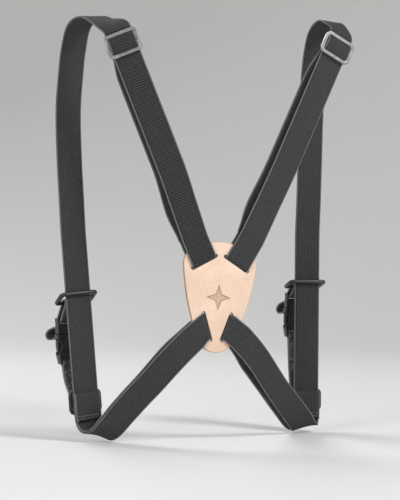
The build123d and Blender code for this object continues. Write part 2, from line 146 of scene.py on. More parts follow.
# Chest loops, in millimetres
LOOP_SIZE = (37.0, 22.5, 3.6)
LOOP_RADIUS = 4.6
LOOP_WINDOW = (28.4, 15.3, 2.0)
LOOP_BAR = (3.2, 3.0)          # each bar's width and depth
LOOP_SPAN = 19.3
LOOP_HEIGHT = {"left": 112.5, "right": 126.5}
LOOP_DROP = {"left": 9.0, "right": 5.5}
LOOP_GAP = 0.4

# Buckles, in millimetres from the buckle's middle
BUCKLE_STANDOFF = 29.0
BUCKLE_HEIGHT = {"left": 68.0, "right": 93.5}
BUCKLE_END = 21.5
MOUTH = 6.5
EAR_INNER = 10.2
WEB_SLOT_END = 15.8
BAR = (20.6, 3.0, 3.2)
SOCKET_HALF = 13.0
SHELL = 1.7
SHELL_OUT = 3.65
CAVITY = 5.6
CAVITY_FLOOR = -12.5
CAVITY_HALF = 10.5
PANEL = [(-5.5, -10.0), (5.5, -10.0), (7.0, 1.5), (-7.0, 1.5)]
THUMB = (-4.4, 6.2, 3.4)       # the side cut-outs: middle, half height, depth
YOKE_DEPTH = 7.8
YOKE_RIBS = (9.0, 10.8, 12.6)
PRONG_DEPTH = 4.6
ARM = [(6.4, MOUTH), (6.4, -9.0), (8.0, -10.0), (10.6, -8.6), (11.3, -4.4),
       (10.6, -0.2), (9.4, 2.0), (9.4, MOUTH)]
ARM_DEPTH = 4.6
ARM_PAD_DEPTH = 5.2
ARM_RIB_DEPTH = 4.8
ARM_RIBS = (-7.2, -5.3, -3.4, -1.5)

# The buckles' webs, in millimetres
WEB_TURN = 3.25
BELLY_IN = 2.5
BELLY_SHARE = 0.45
KNEE_IN = 8.0
KNEE_ABOVE_SLIDER = 11.0
FOOT_STANDOFF = 12.0
END_STANDOFF = 7.2
END_BELOW_SLIDER = 9.0
DOUBLED_STEP = 0.56 * WEB_THICKNESS / MM    # from a doubled web's middle to each layer
TAIL_START = (5.4, 10.5)       # out from and above the buckle's middle
TAIL = [(0.0, 1.5), (6.0, 1.8), (15.0, -0.2), (21.5, -3.8), (22.6, -7.0),
        (19.0, -9.6), (11.0, -9.4), (4.5, -7.2), (0.0, -3.2)]
TAIL_LEAN = 0.14
TAIL_SEAM = (5.0, 8.0)
TAIL_SEAM_HALF = 8.0

# Camera and stage
VIEW_AZIMUTH = radians(-21.0)
VIEW_DISTANCE = 1.5
VIEW_CENTRE = Vector((-0.014, 0.006, 0.04275))
LENS = 120.0
SENSOR_WIDTH = 36.0
FLOOR_DROP = 0.001
FLOOR_RADIUS = 1.5
FLOOR_CURVE = 1.1
WALL_TOP = 3.0
CURVE_STEPS = 12
STAGE_SIDES = 96

# Routes: (x, y, z) of the strap's middle, then the direction of its width
BACK_RUN_WIDTH = {"left": (0.88, -0.27, 0.36), "right": (0.89, 0.06, -0.45)}
FRONT_RUN_WIDTH = {"left": (0.99, 0.10, 0.08), "right": (0.99, -0.10, -0.01)}
BACK_ROUTE = {
    "left": [
        ((-23.0, -5.2, 53.0), (0.92, 0.01, 0.36)),
        ((-34.0, -4.9, 84.0), (0.91, -0.08, 0.36)),
        ((-46.4, -4.5, 118.4), BACK_RUN_WIDTH["left"]),
        ((-91.6, 6.8, 237.1), BACK_RUN_WIDTH["left"]),
    ],
    "right": [
        ((32.0, -5.2, 53.0), (0.84, 0.02, -0.52)),
        ((49.0, -4.6, 86.0), (0.86, 0.10, -0.48)),
        ((69.0, -3.0, 125.1), BACK_RUN_WIDTH["right"]),
        ((126.9, 7.0, 241.2), BACK_RUN_WIDTH["right"]),
    ],
}
FRONT_ROUTE = {
    "left": [
        ((-101.9, 16.6, 245.4), (0.88, 0.39, 0.27)),
        ((-108.6, 34.0, 251.4), (0.96, 0.27, 0.06)),
        ((-113.5, 52.0, 245.0), (0.99, 0.16, 0.02)),
        ((-115.8, 61.5, 226.0), (0.99, 0.11, 0.0)),
        ((-117.3, 65.0, 205.0), (0.99, 0.10, 0.0)),
        ((-119.5, 66.0, 170.0), (0.99, 0.10, 0.0)),
        ((-118.6, 66.0, 127.0), (0.99, 0.10, 0.0)),
        ((-116.6, 66.0, 90.0), (0.99, 0.10, 0.04)),
        ((-114.5, 66.0, 54.0), FRONT_RUN_WIDTH["left"]),
        ((-101.5, 66.0, -108.5), FRONT_RUN_WIDTH["left"]),
    ],
    "right": [
        ((125.6, 17.0, 253.2), (0.97, 0.02, -0.20)),
        ((126.2, 34.0, 257.6), (0.99, -0.02, -0.04)),
        ((126.4, 52.0, 249.0), (0.99, -0.10, 0.0)),
        ((126.2, 61.5, 230.0), (0.99, -0.10, 0.0)),
        ((125.0, 65.0, 205.0), (0.99, -0.10, 0.0)),
        ((123.6, 66.0, 170.0), (0.99, -0.10, 0.0)),
        ((122.2, 66.0, 127.0), (0.99, -0.10, 0.0)),
        ((121.0, 66.0, 90.0), (0.99, -0.10, 0.0)),
        ((119.6, 66.0, 54.0), FRONT_RUN_WIDTH["right"]),
        ((118.0, 66.0, -114.0), FRONT_RUN_WIDTH["right"]),
    ],
}
LOWER_ROUTE = {
    "left": [
        ((-99.5, 62.0, -120.0), (0.94, 0.10, -0.10)),
        ((-94.5, 52.0, -125.5), (0.90, 0.10, -0.30)),
        ((-88.0, 42.5, -119.5), (0.85, 0.0, -0.45)),
        ((-78.0, 34.0, -105.0), (0.82, -0.08, -0.55)),
        ((-68.0, 24.5, -90.5), (0.80, -0.10, -0.58)),
        ((-57.2, 14.0, -75.7), (0.79, -0.10, -0.60)),
        ((-46.8, 5.0, -61.0), (0.76, -0.10, -0.64)),
        ((-35.6, -2.4, -47.0), (0.66, -0.04, -0.75)),
        ((-24.0, -5.2, -35.5), (0.45, 0.0, -0.89)),
    ],
    "right": [
        ((116.0, 62.8, -122.5), (0.97, -0.15, 0.10)),
        ((111.0, 54.0, -125.5), (0.85, -0.30, 0.25)),
        ((103.5, 46.0, -119.0), (0.80, -0.20, 0.42)),
        ((87.0, 33.5, -103.5), (0.78, 0.0, 0.58)),
        ((68.5, 18.5, -87.0), (0.77, 0.12, 0.62)),
        ((53.5, 7.0, -71.5), (0.77, 0.10, 0.63)),
        ((41.5, -0.5, -58.0), (0.72, 0.08, 0.69)),
        ((31.0, -3.6, -46.5), (0.62, 0.03, 0.78)),
        ((20.5, -5.2, -36.0), (0.48, 0.0, 0.88)),
    ],
}


# ---- materials ----


class Shader:
    """A material's nodes, built one call at a time."""

    def __init__(self, name, roughness, metallic=0.0, specular=0.5):
        self.material = bpy.data.materials.new(name)
        self.material.use_nodes = True
        self.tree = self.material.node_tree
        self.surface = self.tree.nodes["Principled BSDF"]
        self.surface.inputs["Roughness"].default_value = roughness
        self.surface.inputs["Metallic"].default_value = metallic
        self.surface.inputs["Specular IOR Level"].default_value = specular

    def feed(self, socket, value):
        if isinstance(value, bpy.types.NodeSocket):
            self.tree.links.new(value, socket)
        else:
            socket.default_value = value

    def add(self, kind, inputs=None):
        """A new node, with numbers or links on its inputs."""
        node = self.tree.nodes.new("ShaderNode" + kind)
        for name, value in (inputs or {}).items():
            self.feed(node.inputs[name], value)
        return node

    def math(self, operation, *values):
        node = self.add("Math", dict(enumerate(values)))
        node.operation = operation
        return node.outputs[0]

    def uv(self):
        """(across, along) in millimetres, from the strap's own map."""
        node = self.add("UVMap")
        node.uv_map = "Weave"
        split = self.add("SeparateXYZ", {0: node.outputs["UV"]})
        return split.outputs[0], split.outputs[1]

    def place(self):
        return self.add("TexCoord").outputs["Object"]

    def height(self):
        """Upwards, in metres."""
        return self.add("SeparateXYZ", {0: self.place()}).outputs[2]

    def noise(self, scale, detail, roughness=0.55):
        inputs = {"Scale": scale, "Detail": detail, "Roughness": roughness, "Vector": self.place()}
        return self.add("TexNoise", inputs).outputs[0]

    def cells(self, scale):
        node = self.add("TexVoronoi", {"Scale": scale, "Vector": self.place()})
        return node.outputs["Distance"]

    def span(self, value, low, high, to_low=0.0, to_high=1.0):
        ends = {"From Min": low, "From Max": high, "To Min": to_low, "To Max": to_high}
        node = self.add("MapRange", {"Value": value, **ends})
        node.clamp = True
        return node.outputs["Result"]

    def mix(self, share, first, second):
        node = self.add("Mix")
        node.data_type = "RGBA"
        colours = [socket for socket in node.inputs if socket.type == "RGBA"]
        self.feed(node.inputs[0], share)
        for socket, colour in zip(colours, (first, second)):
            fed = isinstance(colour, bpy.types.NodeSocket)
            self.feed(socket, colour if fed else (*colour, 1.0))
        return [socket for socket in node.outputs if socket.type == "RGBA"][0]

    def colour(self, value):
        self.feed(self.surface.inputs["Base Color"], value)

    def rough(self, value):
        self.feed(self.surface.inputs["Roughness"], value)

    def bump(self, height, distance, strength, under=None):
        node = self.add("Bump", {"Strength": strength, "Distance": distance, "Height": height})
        if under is not None:
            self.feed(node.inputs["Normal"], under)
        self.feed(self.surface.inputs["Normal"], node.outputs[0])
        return node.outputs[0]


def wave(shader, value, pitch):
    """0 to 1 and back over each pitch of a length in millimetres."""
    turns = shader.math("MULTIPLY", value, 2 * pi / pitch)
    return shader.span(shader.math("SINE", turns), -1.0, 1.0)


def zigzag(shader, value, pitch):
    """0 to 1 and back in straight lines."""
    return shader.math("PINGPONG", shader.math("DIVIDE", value, pitch / 2), 1.0)


def knit(shader, half_width, rows):
    """A woven strap's relief from its rows of yarn, with selvedges and grooves beside them."""
    across, along = shader.uv()
    away = shader.math("ABSOLUTE", across)
    selvedge = shader.span(away, half_width - SELVEDGE[0], half_width - SELVEDGE[1])
    groove = shader.span(away, half_width - GROOVE[0], half_width - GROOVE[1])
    groove = shader.math("SUBTRACT", groove, selvedge)
    face = shader.math("SUBTRACT", 1.0, selvedge)
    height = shader.math("MULTIPLY", rows, face)
    edge_pick = shader.math("MULTIPLY", wave(shader, along, 1.3), selvedge)
    edge_pick = shader.math("MULTIPLY", edge_pick, 0.4)
    height = shader.math("ADD", height, edge_pick)
    height = shader.math("SUBTRACT", height, shader.math("MULTIPLY", groove, 0.5))
    return height, selvedge, groove


def elastic_material(name, coarse):
    """Charcoal woven elastic: zigzag rows if coarse, else a fine twill over lengthwise ribs."""
    shader = Shader(name, roughness=0.8, specular=0.25)
    across, along = shader.uv()
    if coarse:
        bend = shader.math("MULTIPLY", zigzag(shader, across, 3.3), 1.15)
        rows = wave(shader, shader.math("ADD", along, bend), 2.25)
        stripes = wave(shader, across, 1.65)
        rows = shader.math("MULTIPLY", rows, shader.span(stripes, 0.0, 1.0, 0.45, 1.0))
    else:
        slant = shader.math("ADD", along, shader.math("MULTIPLY", across, 0.9))
        rows = wave(shader, slant, 2.2)
        stripes = wave(shader, across, 1.5)
        ribs = shader.math("MULTIPLY", stripes, 0.45)
        rows = shader.math("ADD", shader.math("MULTIPLY", rows, 0.55), ribs)
    height, selvedge, groove = knit(shader, STRAP_WIDTH / MM / 2, rows)
    fibre = shader.noise(1500.0, 3.0)
    wear = shader.noise(30.0, 4.0)
    pale = (0.078, 0.081, 0.082)
    # Painted shade and highlight over the weave's real pattern: low rows get a near-black colour
    # and high rows a pale one.
    yarn_and_painted_shade = shader.mix(shader.span(rows, 0.15, 0.9), (0.003, 0.0032, 0.0034), pale)
    yarn_and_painted_shade = shader.mix(shader.span(fibre, 0.4, 0.7, 0.0, 0.3), yarn_and_painted_shade, pale)
    yarn_and_painted_shade = shader.mix(shader.span(wear, 0.42, 0.68, 0.0, 0.35), yarn_and_painted_shade, (0.036, 0.038, 0.039))
    yarn_and_painted_shade = shader.mix(shader.math("MULTIPLY", selvedge, 0.9), yarn_and_painted_shade, (0.14, 0.144, 0.146))
    # Painted shade darkens the groove beside each selvedge.
    yarn_and_painted_shade = shader.mix(shader.math("MULTIPLY", groove, 0.5), yarn_and_painted_shade, (0.007, 0.007, 0.008))
    shader.colour(yarn_and_painted_shade)
    shader.rough(shader.span(fibre, 0.3, 0.7, 0.68, 0.88))
    shader.surface.inputs["Sheen Weight"].default_value = 0.05
    shader.surface.inputs["Sheen Roughness"].default_value = 0.4
    low = shader.bump(height, 0.0011, 1.0)
    shader.bump(fibre, 0.00015, 0.4, low)
    return shader.material


def web_material():
    """Nylon web: chevrons across its width, a little glossier than the elastic."""
    shader = Shader("nylon_web", roughness=0.6, specular=0.4)
    across, along = shader.uv()
    bend = shader.math("MULTIPLY", zigzag(shader, across, 4.6), 2.3)
    rows = wave(shader, shader.math("ADD", along, bend), 1.6)
    height, selvedge, groove = knit(shader, WEB_WIDTH / MM / 2, rows)
    fibre = shader.noise(1700.0, 3.0)
    # Painted shade and highlight over the chevrons' real pattern: low rows get a near-black colour
    # and high rows a pale one.
    yarn_and_painted_shade = shader.mix(shader.span(rows, 0.1, 0.9), (0.006, 0.006, 0.007), (0.075, 0.077, 0.08))
    yarn_and_painted_shade = shader.mix(shader.span(fibre, 0.4, 0.7, 0.0, 0.3), yarn_and_painted_shade, (0.085, 0.085, 0.088))
    yarn_and_painted_shade = shader.mix(shader.math("MULTIPLY", selvedge, 0.8), yarn_and_painted_shade, (0.19, 0.19, 0.195))
    shader.colour(yarn_and_painted_shade)
    shader.rough(shader.span(fibre, 0.3, 0.7, 0.48, 0.7))
    low = shader.bump(height, 0.0007, 0.9)
    shader.bump(fibre, 0.00015, 0.4, low)
    return shader.material


def thread_material():
    """Twisted sewing thread."""
    shader = Shader("sewing_thread", roughness=0.55, specular=0.4)
    twist = shader.noise(2600.0, 2.0)
    plies = shader.span(twist, 0.3, 0.7)
    shader.colour(shader.mix(plies, (0.14, 0.14, 0.145), (0.34, 0.34, 0.345)))
    shader.bump(twist, 0.0001, 0.5)
    return shader.material


def leather_material(name, deep, pale):
    """Undyed vegetable-tanned leather, with painted shade that darkens it towards the pad's foot.
    """
    shader = Shader(name, roughness=0.52, specular=0.35)
    cloud = shader.noise(22.0, 5.0)
    grain = shader.noise(420.0, 6.0, 0.65)
    pores = shader.cells(1400.0)
    tan = shader.mix(shader.span(cloud, 0.35, 0.68), deep, pale)
    # Painted shade: the colour gets darker towards the pad's foot.
    painted_foot_shade = shader.span(shader.height(), -0.052, 0.03, 0.75, 0.0)
    tan = shader.mix(painted_foot_shade, tan, deep)
    tan = shader.mix(shader.span(grain, 0.5, 0.75, 0.0, 0.35), tan, (0.52, 0.34, 0.22))
    tan = shader.mix(shader.span(pores, 0.0, 0.16, 0.35, 0.0), tan, (0.55, 0.36, 0.24))
    shader.colour(tan)
    shader.rough(shader.span(grain, 0.3, 0.7, 0.44, 0.62))
    low = shader.bump(grain, 0.0004, 0.35)
    shader.bump(pores, 0.0002, 0.3, low)
    return shader.material


def cut_leather_material():
    """The pad's cut and burnished edges, and the walls of its slots and star."""
    shader = Shader("cut_leather", roughness=0.6, specular=0.3)
    fibre = shader.noise(500.0, 5.0, 0.7)
    layers = shader.noise(90.0, 3.0)
    brown = shader.mix(shader.span(fibre, 0.3, 0.7), (0.34, 0.19, 0.11), (0.52, 0.33, 0.21))
    shader.colour(shader.mix(shader.span(layers, 0.35, 0.7, 0.0, 0.5), brown, (0.26, 0.14, 0.08)))
    shader.bump(fibre, 0.0004, 0.5)
    return shader.material


def metal_material():
    """Satin grey plated slider."""
    shader = Shader("satin_metal", roughness=0.42, metallic=0.7)
    cast = shader.noise(900.0, 4.0)
    rubbed = shader.noise(160.0, 3.0)
    bright = shader.span(rubbed, 0.35, 0.7)
    shader.colour(shader.mix(bright, (0.22, 0.226, 0.23), (0.36, 0.365, 0.37)))
    shader.rough(shader.span(cast, 0.3, 0.7, 0.3, 0.46))
    shader.bump(cast, 0.0001, 0.35)
    return shader.material


def plastic_material():
    """Black moulded acetal, faintly pebbled."""
    shader = Shader("black_plastic", roughness=0.4, specular=0.5)
    pebble = shader.noise(2200.0, 3.0)
    haze = shader.noise(120.0, 3.0)
    clouds = shader.span(haze, 0.35, 0.7)
    shader.colour(shader.mix(clouds, (0.012, 0.012, 0.013), (0.026, 0.026, 0.028)))
    shader.rough(shader.span(haze, 0.3, 0.7, 0.34, 0.5))
    shader.bump(pebble, 0.00012, 0.35)
    return shader.material


ELASTIC = elastic_material("elastic_webbing", False)
RIBBED_ELASTIC = elastic_material("ribbed_elastic_webbing", True)
WEB = web_material()
THREAD = thread_material()
LEATHER = leather_material("natural_leather", (0.66, 0.465, 0.35), (0.80, 0.635, 0.52))
PRESSED_LEATHER = leather_material("pressed_leather", (0.46, 0.31, 0.215), (0.56, 0.41, 0.31))
CUT_LEATHER = cut_leather_material()
METAL = metal_material()
PLASTIC = plastic_material()


# ---- routes ----


def tangents(points):
    """The route's direction at each point: along a straight run, else between its neighbours."""
    last = len(points) - 1
    found = []
    for i in range(last + 1):
        before = points[max(i - 1, 0)]
        after = points[min(i + 1, last)]
        if (points[i] - before).length > STRAIGHT_SPAN:
            after = points[i]
        elif (after - points[i]).length > STRAIGHT_SPAN:
            before = points[i]
        found.append((after - before).normalized())
    return found


def smooth_route(route):
    """Closely spaced (middle, way along, way across) stations on a route in millimetres."""
    points = [Vector(middle) * MM for middle, _ in route]
    widths = [Vector(width).normalized() for _, width in route]
    ways = tangents(points)
    stations = []
    for span in range(len(route) - 1):
        reach = (points[span + 1] - points[span]).length
        steps = ceil(reach / STATION_STEP)
        for step in range(steps):
            t = step / steps
            middle = points[span].lerp(points[span + 1], eased(t))
            middle += ways[span] * (reach * t * (1 - t) ** 2)
            middle -= ways[span + 1] * (reach * t * t * (1 - t))
            along = ways[span].lerp(ways[span + 1], t).normalized()
            stations.append((middle, along, widths[span].lerp(widths[span + 1], t)))
    stations.append((points[-1], ways[-1], widths[-1]))
    return stations


def squared(station):
    """A station's middle with square directions: across, towards the wearer, along."""
    middle, along, across = station
    across = (across - along * across.dot(along)).normalized()
    return middle, across, along.cross(across), along


def offset(stations, towards):
    """The stations, moved towards the wearer."""
    moved = []
    for station in stations:
        middle, across, facing, along = squared(station)
        moved.append((middle + facing * towards, along, across))
    return moved


def slot_place(slot, side):
    """Middle of a pad slot, the way its strap leaves, and the slot's own direction."""
    x, z, lean = slot
    tilt = Matrix.Rotation(PAD_TILT, 3, "Y")
    middle = tilt @ Vector((side * x, -PAD_THICKNESS / 2, z))
    leave = tilt @ Vector((side * sin(lean), 0, cos(lean)))
    across = TOWARDS_WEARER.cross(leave)
    return middle, leave, across if across.x > 0 else -across


def wrap(slot, side, start, stop, steps=10):
    """The strap's turn round the leather: 0 degrees in front of the pad, 180 behind it."""
    middle, leave, across = slot_place(slot, side)
    way = 1 if stop > start else -1
    stations = []
    for i in range(steps + 1):
        angle = radians(start + (stop - start) * i / steps)
        place = middle + leave * (WRAP_RADIUS * (1 - sin(angle)) - SLOT_PLAY)
        place -= TOWARDS_WEARER * (WRAP_RADIUS * cos(angle))
        along = (TOWARDS_WEARER * sin(angle) - leave * cos(angle)) * way
        stations.append((place, along, across))
    return stations


def main_route(side):
    """Stations of one side's whole outer strap, from the pad's upper slot to its lower one."""
    whole = BACK_ROUTE[side] + FRONT_ROUTE[side] + LOWER_ROUTE[side]
    start = wrap(UPPER_SLOT, SIDES[side], 90, 0)
    end = wrap(LOWER_SLOT, SIDES[side], 0, 90)
    return start + smooth_route(whole) + end


def eased(share):
    t = min(max(share, 0), 1)
    return t * t * (3 - 2 * t)


def return_layer(stations, slot, side, aside, slack=0.0):
    """The inner layer: behind the leather at its slot, then close to the outer one, or slack."""
    middle, _, _ = slot_place(slot, side)
    ends = (stations[0][0], stations[-1][0])
    moved = []
    for station in stations:
        ease = eased(((station[0] - middle).length - LAYERS_APART) / (LAYERS_CLOSE - LAYERS_APART))
        shift = aside
        bow = slack
        for end in ends:
            shift *= eased((station[0] - end).length / ASIDE_REACH)
            bow *= eased((station[0] - end).length / SLACK_REACH)
        place, across, facing, along = squared(station)
        place += facing * (LEATHER_STEP * (1 - ease) + LAYER_STEP * ease + bow) - across * shift
        moved.append((place, along, across))
    return moved


def frame_at(point, along, across, reach=0.0):
    """Matrix of a frame in millimetres on a strap: X across it, Z along it."""
    middle, across, facing, along = squared((point, along, Vector(across)))
    rotation = Matrix((across, facing, along)).transposed().to_4x4()
    return Matrix.Translation(middle - along * (reach * MM)) @ rotation @ Matrix.Scale(MM, 4)


def last_run(route):
    """Both ends of a route's last straight run."""
    return [Vector(middle) * MM for middle, _ in route[-2:]]


def shoulder_frame(side):
    low, high = last_run(BACK_ROUTE[side])
    return frame_at(high, (high - low).normalized(), BACK_RUN_WIDTH[side], SLIDER_REACH)


def lower_frame(side):
    high, low = last_run(FRONT_ROUTE[side])
    return frame_at(low, (low - high).normalized(), FRONT_RUN_WIDTH[side], SLIDER_REACH)


def chest_frame(side):
    """At the low end of the front run: X across the strap, Y off the wearer, Z up the strap."""
    high, low = last_run(FRONT_ROUTE[side])
    return frame_at(low, (high - low).normalized(), FRONT_RUN_WIDTH[side])


def buckle_frame(side):
    return chest_frame(side) @ Matrix.Translation((0, BUCKLE_STANDOFF, BUCKLE_HEIGHT[side]))


def curve_through(points, steps):
    """Evenly eased points on a curve through 2-D points."""
    found = []
    for i in range(len(points) - 1):
        p0 = Vector(points[max(i - 1, 0)])
        p1 = Vector(points[i])
        p2 = Vector(points[i + 1])
        p3 = Vector(points[min(i + 2, len(points) - 1)])
        for k in range(steps):
            t = k / steps
            place = 2 * p1 + (p2 - p0) * t + (2 * p0 - 5 * p1 + 4 * p2 - p3) * t * t
            place += (3 * p1 - p0 - 3 * p2 + p3) * t ** 3
            found.append(place / 2)
    return found + [Vector(points[-1])]


def beside(points, distance):
    """2-D points moved off their line, to its left if positive."""
    moved = []
    for i, point in enumerate(points):
        way = points[min(i + 1, len(points) - 1)] - points[max(i - 1, 0)]
        moved.append(point + Vector((-way.y, way.x)).normalized() * distance)
    return moved


def round_bar(centre, start, stop, steps=14):
    """2-D points of a web's turn round a bar, between two angles in degrees."""
    points = []
    for i in range(steps + 1):
        angle = radians(start + (stop - start) * i / steps)
        points.append(Vector(centre) + Vector((cos(angle), sin(angle))) * WEB_TURN)
    return points


def in_frame(matrix, points, lean=0.0):
    """Stations along (y, z) points of a frame, leant sideways by a share of their y."""
    places = [matrix @ Vector((-lean * (y - points[0].x), y, z)) for y, z in points]
    across = (matrix.to_3x3() @ Vector((1, 0, 0))).normalized()
    stations = []
    for i, place in enumerate(places):
        along = places[min(i + 1, len(places) - 1)] - places[max(i - 1, 0)]
        stations.append((place, along.normalized(), across))
    return stations


# ---- meshes ----


def linked(name, data):
    """A new object, in the scene."""
    made = bpy.data.objects.new(name, data)
    bpy.context.scene.collection.objects.link(made)
    return made


def make_object(name, mesh, *materials):
    for material in materials:
        mesh.materials.append(material)
    return linked(name, mesh)


def mesh_from(name, made, outwards=True):
    """The mesh of a finished bmesh, its faces turned outwards if asked."""
    if outwards:
        bmesh.ops.recalc_face_normals(made, faces=made.faces)
    mesh = bpy.data.meshes.new(name)
    made.to_mesh(mesh)
    made.free()
    return mesh


def smooth(mesh, angle=35.0):
    for polygon in mesh.polygons:
        polygon.use_smooth = True
    mesh.set_sharp_from_angle(angle=radians(angle))


def strap_section(width, thickness):
    """(across, through) points round a flat strap with rounded, slightly proud selvedges."""
    radius = thickness / 2
    half = width / 2 - radius
    points = []
    for way in (1, -1):
        for i in range(FACE_POINTS):
            share = i / FACE_POINTS
            points.append((way * half * (2 * share - 1), -way * radius * 0.94))
        for i in range(EDGE_POINTS):
            angle = -pi / 2 + pi * i / EDGE_POINTS
            points.append((way * (half + radius * cos(angle)), way * radius * sin(angle)))
    return points


def strap(name, stations, width=STRAP_WIDTH, thickness=STRAP_THICKNESS, material=ELASTIC):
    """Flat strap through the stations, with a map of (across, along) in millimetres."""
    section = strap_section(width, thickness)
    count = len(section)
    made = bmesh.new()
    rings = []
    lengths = [0.0]
    for i, station in enumerate(stations):
        middle, across, facing, _ = squared(station)
        if i:
            lengths.append(lengths[-1] + (middle - stations[i - 1][0]).length)
        ring = []
        for aside, through in section:
            ring.append(made.verts.new(middle + across * aside + facing * through))
        rings.append(ring)
    layer = made.loops.layers.uv.new("Weave")
    for i in range(len(rings) - 1):
        for k in range(count):
            following = (k + 1) % count
            corners = ((i, k), (i, following), (i + 1, following), (i + 1, k))
            face = made.faces.new([rings[ring][point] for ring, point in corners])
            for loop, (ring, point) in zip(face.loops, corners):
                loop[layer].uv = (section[point][0] / MM, lengths[ring] / MM)
    for ring, along in ((rings[0], 0), (rings[-1], -1)):
        face = made.faces.new(ring)
        for loop, (aside, _) in zip(face.loops, section):
            loop[layer].uv = (aside / MM, lengths[along] / MM)
    mesh = mesh_from(name, made)
    smooth(mesh, 60.0)
    return make_object(name, mesh, material)


def arc_points(start, crown, end, steps):
    """Points on the circle through three 2-D points, from start up to but not at end."""
    ax, ay = start
    bx, by = crown
    cx, cy = end
    d = 2 * (ax * (by - cy) + bx * (cy - ay) + cx * (ay - by))
    a2, b2, c2 = ax * ax + ay * ay, bx * bx + by * by, cx * cx + cy * cy
    ux = (a2 * (by - cy) + b2 * (cy - ay) + c2 * (ay - by)) / d
    uy = (a2 * (cx - bx) + b2 * (ax - cx) + c2 * (bx - ax)) / d
    first = atan2(ay - uy, ax - ux)
    middle = atan2(by - uy, bx - ux)
    last = atan2(cy - uy, cx - ux)
    turn = (last - first) % (2 * pi)
    if (middle - first) % (2 * pi) > turn:
        turn -= 2 * pi
    radius = ((ax - ux) ** 2 + (ay - uy) ** 2) ** 0.5
    points = []
    for i in range(steps):
        angle = first + turn * i / steps
        points.append((ux + radius * cos(angle), uy + radius * sin(angle)))
    return points


def plate(name, outlines, thickness, bevel, resolution=3):
    """Mesh of a flat plate with holes and rounded edges, in its own XY plane, about z = 0."""
    curve = bpy.data.curves.new(name, "CURVE")
    curve.dimensions = "2D"
    curve.fill_mode = "BOTH"
    curve.extrude = thickness / 2 - bevel
    curve.bevel_depth = bevel
    curve.bevel_resolution = resolution
    curve.offset = -bevel
    for outline in outlines:
        spline = curve.splines.new("POLY")
        spline.points.add(len(outline) - 1)
        for point, (x, y) in zip(spline.points, outline):
            point.co = (x, y, 0, 1)
        spline.use_cyclic_u = True
    holder = bpy.data.objects.new(name, curve)
    mesh = bpy.data.meshes.new_from_object(holder)
    bpy.data.objects.remove(holder)
    bpy.data.curves.remove(curve)
    return mesh


def moved(mesh, matrix):
    """The mesh, turned from its XY plane into a frame's XZ plane."""
    mesh.transform(matrix @ Matrix.Rotation(radians(90), 4, "X"))
    return mesh


def slab(matrix, outlines, thickness, bevel, resolution=3, at=(0, 0, 0)):
    """Mesh of a plate that stands in a frame's XZ plane, centred on a point of the frame."""
    flat = plate("slab", outlines, thickness, bevel, resolution)
    return moved(flat, matrix @ Matrix.Translation(at))


def joined(name, meshes, material):
    """One object from several meshes."""
    made = bmesh.new()
    for mesh in meshes:
        made.from_mesh(mesh)
        bpy.data.meshes.remove(mesh)
    whole = mesh_from(name, made, False)
    smooth(whole)
    return make_object(name, whole, material)


def rounded_box(width, height, radius, steps=6):
    """Outline of a rectangle with round corners, centred."""
    points = []
    for turn, (x, y) in enumerate(((1, 1), (-1, 1), (-1, -1), (1, -1))):
        for i in range(steps + 1):
            angle = pi / 2 * (turn + i / steps)
            at = (x * (width / 2 - radius), y * (height / 2 - radius))
            points.append((at[0] + radius * cos(angle), at[1] + radius * sin(angle)))
    return points


def bend(first, corner, last, t):
    """Point on the curve that a corner pulls towards itself, at a share of its way."""
    return tuple(first * (1 - t) ** 2 + corner * (2 * t * (1 - t)) + last * t * t)


def turned_corners(outline, radius, steps=5):
    """The outline with each corner replaced by a curve that starts a radius away from it."""
    points = []
    for i, corner in enumerate(outline):
        at = Vector(corner)
        before = Vector(outline[i - 1]) - at
        after = Vector(outline[(i + 1) % len(outline)]) - at
        reach = min(radius, before.length / 2.1, after.length / 2.1)
        if before.angle(-after) < radians(12):
            points.append(corner)
            continue
        first = at + before.normalized() * reach
        last = at + after.normalized() * reach
        points += [bend(first, at, last, k / steps) for k in range(steps + 1)]
    return points


def mirrored(outline):
    return [(-x, z) for x, z in reversed(outline)]


# ---- leather pad ----


def pad_outline():
    """Shield outline in the pad's own plane, its top corners rounded."""
    corners = [(-PAD_CORNER[0], PAD_CORNER[1]), PAD_CORNER, PAD_FOOT, (-PAD_FOOT[0], PAD_FOOT[1])]
    crowns = [(0, PAD_TOP), PAD_WAIST, (0, PAD_BOTTOM), (-PAD_WAIST[0], PAD_WAIST[1])]
    points = []
    for i, crown in enumerate(crowns):
        points += arc_points(corners[i], crown, corners[(i + 1) % 4], 48)
    for corner in corners[:2]:
        points = cut_corner(points, Vector(corner), PAD_CORNER_CUT)
    return points


def cut_corner(points, corner, reach, steps=10):
    """A closed outline with a curve in place of what lies within reach of a corner."""
    near = [i for i, point in enumerate(points) if (Vector(point) - corner).length < reach]
    if near[0] == 0:
        turn = max(i for i in near if i < len(points) / 2) + 1
        points = points[turn:] + points[:turn]
        near = [i for i, point in enumerate(points) if (Vector(point) - corner).length < reach]
    first = Vector(points[near[0] - 1])
    last = Vector(points[(near[-1] + 1) % len(points)])
    curve = [bend(first, corner, last, k / steps) for k in range(1, steps)]
    return points[: near[0]] + curve + points[near[-1] + 1 :]


def slot_outline(slot, side):
    """Round-ended slot in the pad's own plane."""
    x, z, lean = slot
    leave = Vector((side * sin(lean), cos(lean)))
    run = Vector((leave.y, -leave.x))
    middle = Vector((side * x, z))
    half = (SLOT_LENGTH - SLOT_WIDTH) / 2
    points = []
    for way in (1, -1):
        for i in range(9):
            turn = pi * i / 8 - pi / 2
            local = run * (way * (half + SLOT_WIDTH / 2 * cos(turn)))
            local += leave * (way * SLOT_WIDTH / 2 * sin(turn))
            points.append(tuple(middle + local))
    return points


